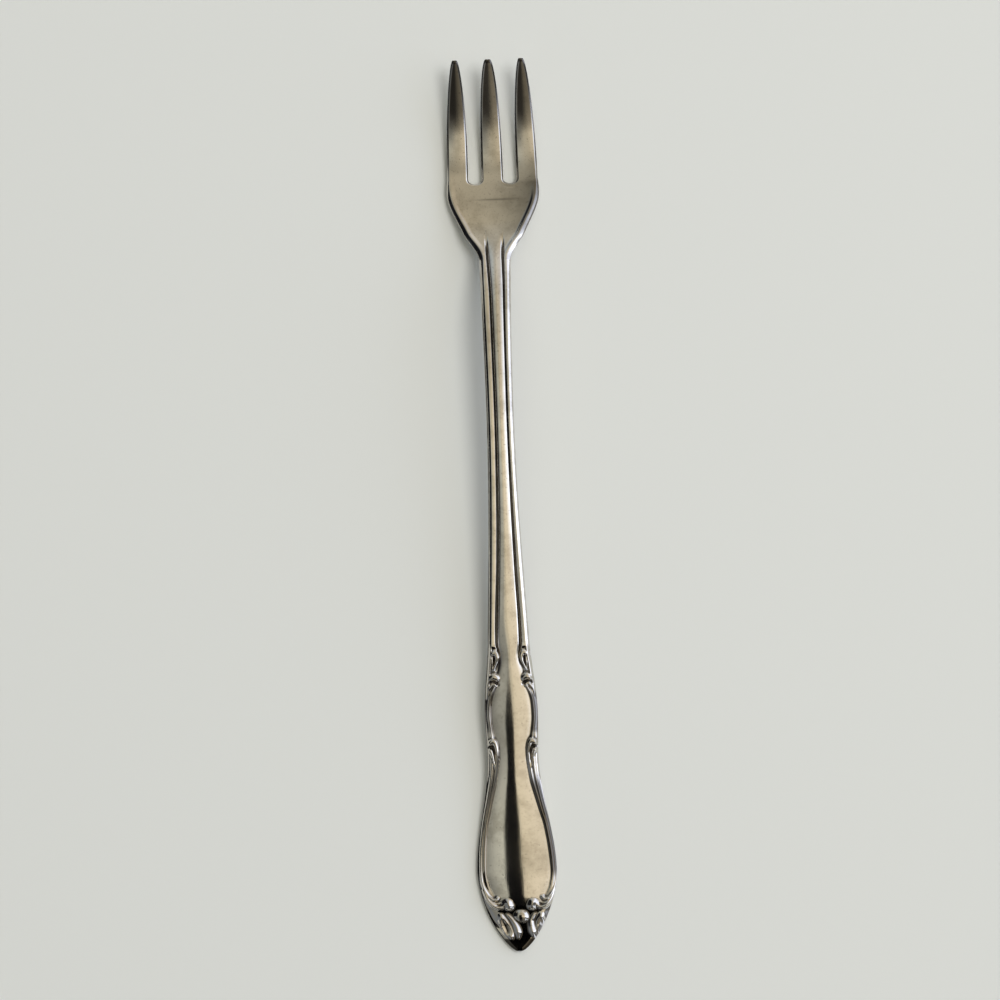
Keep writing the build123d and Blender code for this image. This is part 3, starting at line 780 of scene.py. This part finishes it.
class ForkFinish(bpy.types.PropertyGroup):
    """Colours of the steel and how worn it is."""

    steel: bpy.props.FloatVectorProperty(
        name="Steel", description="Colour of the bare metal", subtype="COLOR", size=3, min=0, max=1,
        default=(0.62, 0.59, 0.54))
    dull: bpy.props.FloatVectorProperty(
        name="Dull steel", description="Colour of the metal where it is tarnished", subtype="COLOR", size=3,
        min=0, max=1, default=(0.47, 0.44, 0.39))
    # Dark colour of the dirt in the recesses, of the pits and of the painted shade
    stain_and_shade: bpy.props.FloatVectorProperty(
        name="Stain", description="Colour of the dirt in the recesses", subtype="COLOR", size=3,
        min=0, max=1, default=(0.035, 0.031, 0.028))
    gloss_roughness: bpy.props.FloatProperty(
        name="Roughness", description="Roughness of the polished metal", subtype="FACTOR", min=0, max=1,
        default=0.05)


class ForkStage(bpy.types.PropertyGroup):
    """The floor and the camera."""

    floor: bpy.props.FloatVectorProperty(
        name="Floor", description="Colour of the floor", subtype="COLOR", size=3, min=0, max=1,
        default=(0.755, 0.775, 0.755))
    camera_distance: bpy.props.FloatProperty(
        name="Camera distance", description="How far the camera stands from the fork", subtype="DISTANCE",
        unit="LENGTH", default=0.9)
    view_width: bpy.props.FloatProperty(
        name="View width", description="Width of the table that the camera sees", subtype="DISTANCE",
        unit="LENGTH", default=0.1707)
    roll: bpy.props.FloatProperty(
        name="Roll", description="How far the fork leans to the left in the picture", subtype="ANGLE",
        unit="ROTATION", default=math.radians(2.05))
    side_lean: bpy.props.FloatProperty(
        name="Side lean", description="How far the camera leans over to the right of the fork",
        subtype="ANGLE", unit="ROTATION", default=math.radians(1.3))


def feed(tree, source, target):
    """Gives an input socket another node's output, or a value."""
    if isinstance(source, bpy.types.NodeSocket):
        tree.links.new(source, target)
    else:
        target.default_value = source


def add_node(tree, kind, **settings):
    """A shader node with its settings and, by name, the values or sources of its inputs."""
    node = tree.nodes.new(kind)
    for key, value in settings.items():
        if hasattr(node, key):
            setattr(node, key, value)
        else:
            feed(tree, value, node.inputs[key.replace("_", " ").title()])
    return node


def noise(tree, place, scale, detail, roughness):
    """A random pattern on a place."""
    pattern = add_node(
        tree, "ShaderNodeTexNoise", Vector=place, Scale=scale, Detail=detail, Roughness=roughness)
    return pattern.outputs["Fac"]


def between(tree, value, low, high, most=1):
    """A share that grows smoothly from 0 to its most while a value goes from low to high."""
    share = add_node(
        tree, "ShaderNodeMapRange", interpolation_type="SMOOTHSTEP", Value=value, From_Min=low,
        From_Max=high, To_Max=most)
    return share.outputs["Result"]


def blend(tree, below, above, share, way="MIX"):
    """Two colours blended by a share."""
    mix = add_node(
        tree, "ShaderNodeMix", data_type="RGBA", blend_type=way, A=below, B=above, Factor=share)
    return mix.outputs["Result"]


def worn_steel_with_painted_shade(finish):
    """Polished steel with fine lengthwise scratches, tarnish in patches, dirt in the recesses and the painted
    shade kept on the sheets.
    """
    material = bpy.data.materials.get("worn_steel_with_painted_shade")
    if material:
        return material
    material = bpy.data.materials.new("worn_steel_with_painted_shade")
    material.use_nodes = True
    tree = material.node_tree
    shader = tree.nodes["Principled BSDF"]
    shader.inputs["Metallic"].default_value = 1.0
    dark = (*finish.stain_and_shade, 1)
    place = add_node(tree, "ShaderNodeTexCoord").outputs["Object"]
    patches = noise(tree, place, scale=260, detail=4, roughness=0.62)
    metal = blend(tree, (*finish.steel, 1), (*finish.dull, 1), between(tree, patches, 0.42, 0.72))
    specks = noise(tree, place, scale=2600, detail=3, roughness=0.7)
    pits = between(tree, specks, 0.56, 0.8, most=0.5)
    # Dirt, tarnish and painted shade kept on the sheets darken the steel towards the dark colour
    stain_and_shade = add_node(tree, "ShaderNodeAttribute", attribute_name="stain_and_shade")
    dirt_and_shade = between(tree, stain_and_shade.outputs["Fac"], 0.15, 0.95, most=0.9)
    colour = blend(tree, blend(tree, metal, dark, pits), dark, dirt_and_shade)
    feed(tree, colour, shader.inputs["Base Color"])
    gloss = add_node(
        tree, "ShaderNodeMapRange", Value=patches, To_Min=finish.gloss_roughness,
        To_Max=finish.gloss_roughness + ROUGHNESS_SPREAD)
    feed(tree, gloss.outputs["Result"], shader.inputs["Roughness"])
    drawn_out = add_node(tree, "ShaderNodeMapping", Vector=place, Scale=(1, 0.04, 1))
    scratches = noise(tree, drawn_out.outputs["Vector"], scale=7000, detail=3, roughness=0.6)
    bump = add_node(tree, "ShaderNodeBump", Height=scratches, Strength=0.12, Distance=0.00002)
    feed(tree, bump.outputs["Normal"], shader.inputs["Normal"])
    return material


class FORK_OT_handle(bpy.types.Operator):
    """Builds the pointed, panelled handle with its ornament"""

    bl_idname = "fork.handle"
    bl_label = "Handle"

    def execute(self, context):
        point = POINT_RUN * (np.arange(POINT_ROWS) / POINT_ROWS) ** POINT_CROWDING
        fine = np.linspace(POINT_RUN, FINE_END, FINE_ROWS + 1)[:-1]
        border = np.linspace(FINE_END, BORDER_END, BORDER_ROWS + 1)[:-1]
        hood = np.linspace(BORDER_END, HANDLE_END, HOOD_ROWS + 1)
        places = np.concatenate([point, fine, border, hood])
        piece = make_bar("handle_skin", places, HANDLE_RECESS_CELLS, context.scene.fork_relief.strike)
        finish_piece(piece, worn_steel_with_painted_shade(context.scene.fork_finish), "handle", "finial")
        return {"FINISHED"}


class FORK_OT_stem(bpy.types.Operator):
    """Builds the slender ribbed stem"""

    bl_idname = "fork.stem"
    bl_label = "Stem"

    def execute(self, context):
        places = np.linspace(HANDLE_END, STEM_END, STEM_ROWS + 1)
        piece = make_bar("stem_skin", places, STEM_RECESS_CELLS, 0)
        finish_piece(piece, worn_steel_with_painted_shade(context.scene.fork_finish), "stem")
        return {"FINISHED"}


class FORK_OT_head(bpy.types.Operator):
    """Builds the head with its three tines"""

    bl_idname = "fork.head"
    bl_label = "Head and tines"

    def execute(self, context):
        relief = context.scene.fork_relief
        piece = make_head("head_skin", relief.rim_width / MM, relief.slot_depth / MM)
        steel = worn_steel_with_painted_shade(context.scene.fork_finish)
        finish_piece(piece, steel, "head", "tine_left", "tine_middle", "tine_right")
        return {"FINISHED"}


def plain_material(name, colour):
    """A new material of one colour, and its shader."""
    material = bpy.data.materials.new(name)
    material.use_nodes = True
    shader = material.node_tree.nodes["Principled BSDF"]
    shader.inputs["Base Color"].default_value = colour
    return material, shader


def add_floor(stage):
    """A plain pale floor."""
    bpy.ops.object.select_all(action="DESELECT")
    bpy.ops.mesh.primitive_plane_add(size=FLOOR_SIZE)
    floor = bpy.context.object
    floor.name = "floor"
    material, shader = plain_material("pale_floor", (*stage.floor, 1))
    shader.inputs["Roughness"].default_value = FLOOR_ROUGHNESS
    floor.data.materials.append(material)


def add_camera(stage):
    """A camera over the fork, with a long lens."""
    bpy.ops.object.camera_add()
    camera = bpy.context.object
    towards = Vector((math.sin(stage.side_lean), 0, math.cos(stage.side_lean)))
    up = Vector((math.sin(stage.roll), math.cos(stage.roll), 0))
    up = (up - up.dot(towards) * towards).normalized()
    turn = Matrix((up.cross(towards), up, towards)).transposed()
    spot = Vector(VIEW_TARGET) + towards * stage.camera_distance
    camera.matrix_world = Matrix.Translation(spot) @ turn.to_4x4()
    camera.data.lens = camera.data.sensor_width * stage.camera_distance / stage.view_width
    camera.data.clip_start = 0.01
    bpy.context.scene.camera = camera


def colours_along(tree, part, stops):
    """A colour that changes with one part of the direction, given at stops from -1 to 1."""
    share = add_node(tree, "ShaderNodeMapRange", Value=part, From_Min=-1)
    ramp = add_node(tree, "ShaderNodeValToRGB", Fac=share.outputs["Result"])
    for k, (position, colour) in enumerate(stops):
        spot = (position + 1) / 2
        stop = ramp.color_ramp.elements[k] if k < 2 else ramp.color_ramp.elements.new(spot)
        stop.position = spot
        stop.color = (*colour, 1)
    return ramp.outputs["Color"]


def levels_along(tree, part, stops):
    """A grey level that changes with one part of the direction."""
    return colours_along(tree, part, [(position, (level, level, level)) for position, level in stops])


def add_room():
    """Soft light from all round: warm overhead, cooler low down, bright on the right, dark on the left."""
    world = bpy.data.worlds.new("studio")
    bpy.context.scene.world = world
    world.use_nodes = True
    tree = world.node_tree
    direction = add_node(tree, "ShaderNodeTexCoord")
    parts = add_node(tree, "ShaderNodeSeparateXYZ", Vector=direction.outputs["Generated"])
    x, y, z = parts.outputs
    light = colours_along(tree, x, SIDEWAYS_LIGHTS)
    light = blend(tree, light, levels_along(tree, y, LENGTHWISE_LEVELS), 1, "MULTIPLY")
    for colour, sideways, lengthwise in LIGHT_AREAS:
        area = add_node(tree, "ShaderNodeMath", operation="MULTIPLY")
        feed(tree, levels_along(tree, x, sideways), area.inputs[0])
        feed(tree, levels_along(tree, y, lengthwise), area.inputs[1])
        light = blend(tree, light, (*colour, 1), area.outputs["Value"])
    light = blend(tree, light, (*COOL_TINT, 1), levels_along(tree, z, COOL_LEVELS), "MULTIPLY")
    feed(tree, light, tree.nodes["Background"].inputs["Color"])


def add_lamp():
    """A soft lamp high over the fork, for the floor."""
    bpy.ops.object.light_add(type="AREA", location=LAMP_PLACE)
    lamp = bpy.context.object
    lamp.data.shape = "DISK"
    lamp.data.size = LAMP_SIZE
    lamp.data.energy = LAMP_POWER
    lamp.rotation_euler = (Vector((0, 0, 0)) - lamp.location).to_track_quat("-Z", "Y").to_euler()
    lamp.visible_glossy = False


def add_card():
    """A dark card over the handle, which the polished panel mirrors as a stripe."""
    bpy.ops.mesh.primitive_plane_add(size=1, location=CARD_PLACE)
    card = bpy.context.object
    card.name = "dark_card"
    bpy.ops.transform.resize(value=CARD_SIZE)
    bpy.ops.object.transform_apply(location=False, rotation=False, scale=True)
    bpy.ops.object.mode_set(mode="EDIT")
    bpy.ops.mesh.bevel(offset=CARD_CORNER, segments=10, affect="VERTICES")
    bpy.ops.object.mode_set(mode="OBJECT")
    material, shader = plain_material("dark_card", CARD_COLOUR)
    shader.inputs["Specular IOR Level"].default_value = 0
    card.data.materials.append(material)
    card.visible_camera = False
    card.visible_diffuse = False
    card.visible_shadow = False


class FORK_OT_stage(bpy.types.Operator):
    """Sets up the floor, the light and the camera"""

    bl_idname = "fork.stage"
    bl_label = "Stage"

    def execute(self, context):
        stage = context.scene.fork_stage
        context.scene.view_settings.view_transform = "Standard"
        add_floor(stage)
        add_room()
        add_lamp()
        add_card()
        add_camera(stage)
        return {"FINISHED"}


class FORK_PT_panel(bpy.types.Panel):
    """Lists the settings and the steps of the fork"""

    bl_label = "Oyster fork"
    bl_idname = "FORK_PT_panel"
    bl_space_type = "VIEW_3D"
    bl_region_type = "UI"
    bl_category = "Fork"

    def draw(self, context):
        scene = context.scene
        for settings in (scene.fork_relief, scene.fork_finish, scene.fork_stage):
            for name in settings.__annotations__:
                self.layout.prop(settings, name)
        for operator in OPERATORS:
            self.layout.operator(operator.bl_idname)


OPERATORS = (FORK_OT_handle, FORK_OT_stem, FORK_OT_head, FORK_OT_stage)
CLASSES = (ForkRelief, ForkFinish, ForkStage, *OPERATORS, FORK_PT_panel)


def register():
    """Registers the classes and hangs their settings on the scene."""
    for one in CLASSES:
        bpy.utils.register_class(one)
    bpy.types.Scene.fork_relief = bpy.props.PointerProperty(type=ForkRelief)
    bpy.types.Scene.fork_finish = bpy.props.PointerProperty(type=ForkFinish)
    bpy.types.Scene.fork_stage = bpy.props.PointerProperty(type=ForkStage)


def unregister():
    """Takes the settings and the classes away again."""
    del bpy.types.Scene.fork_stage
    del bpy.types.Scene.fork_finish
    del bpy.types.Scene.fork_relief
    for one in reversed(CLASSES):
        bpy.utils.unregister_class(one)


def main():
    """Builds the fork and its stage."""
    register()
    bpy.ops.fork.handle()
    bpy.ops.fork.stem()
    bpy.ops.fork.head()
    bpy.ops.fork.stage()


if __name__ == "__main__":
    main()
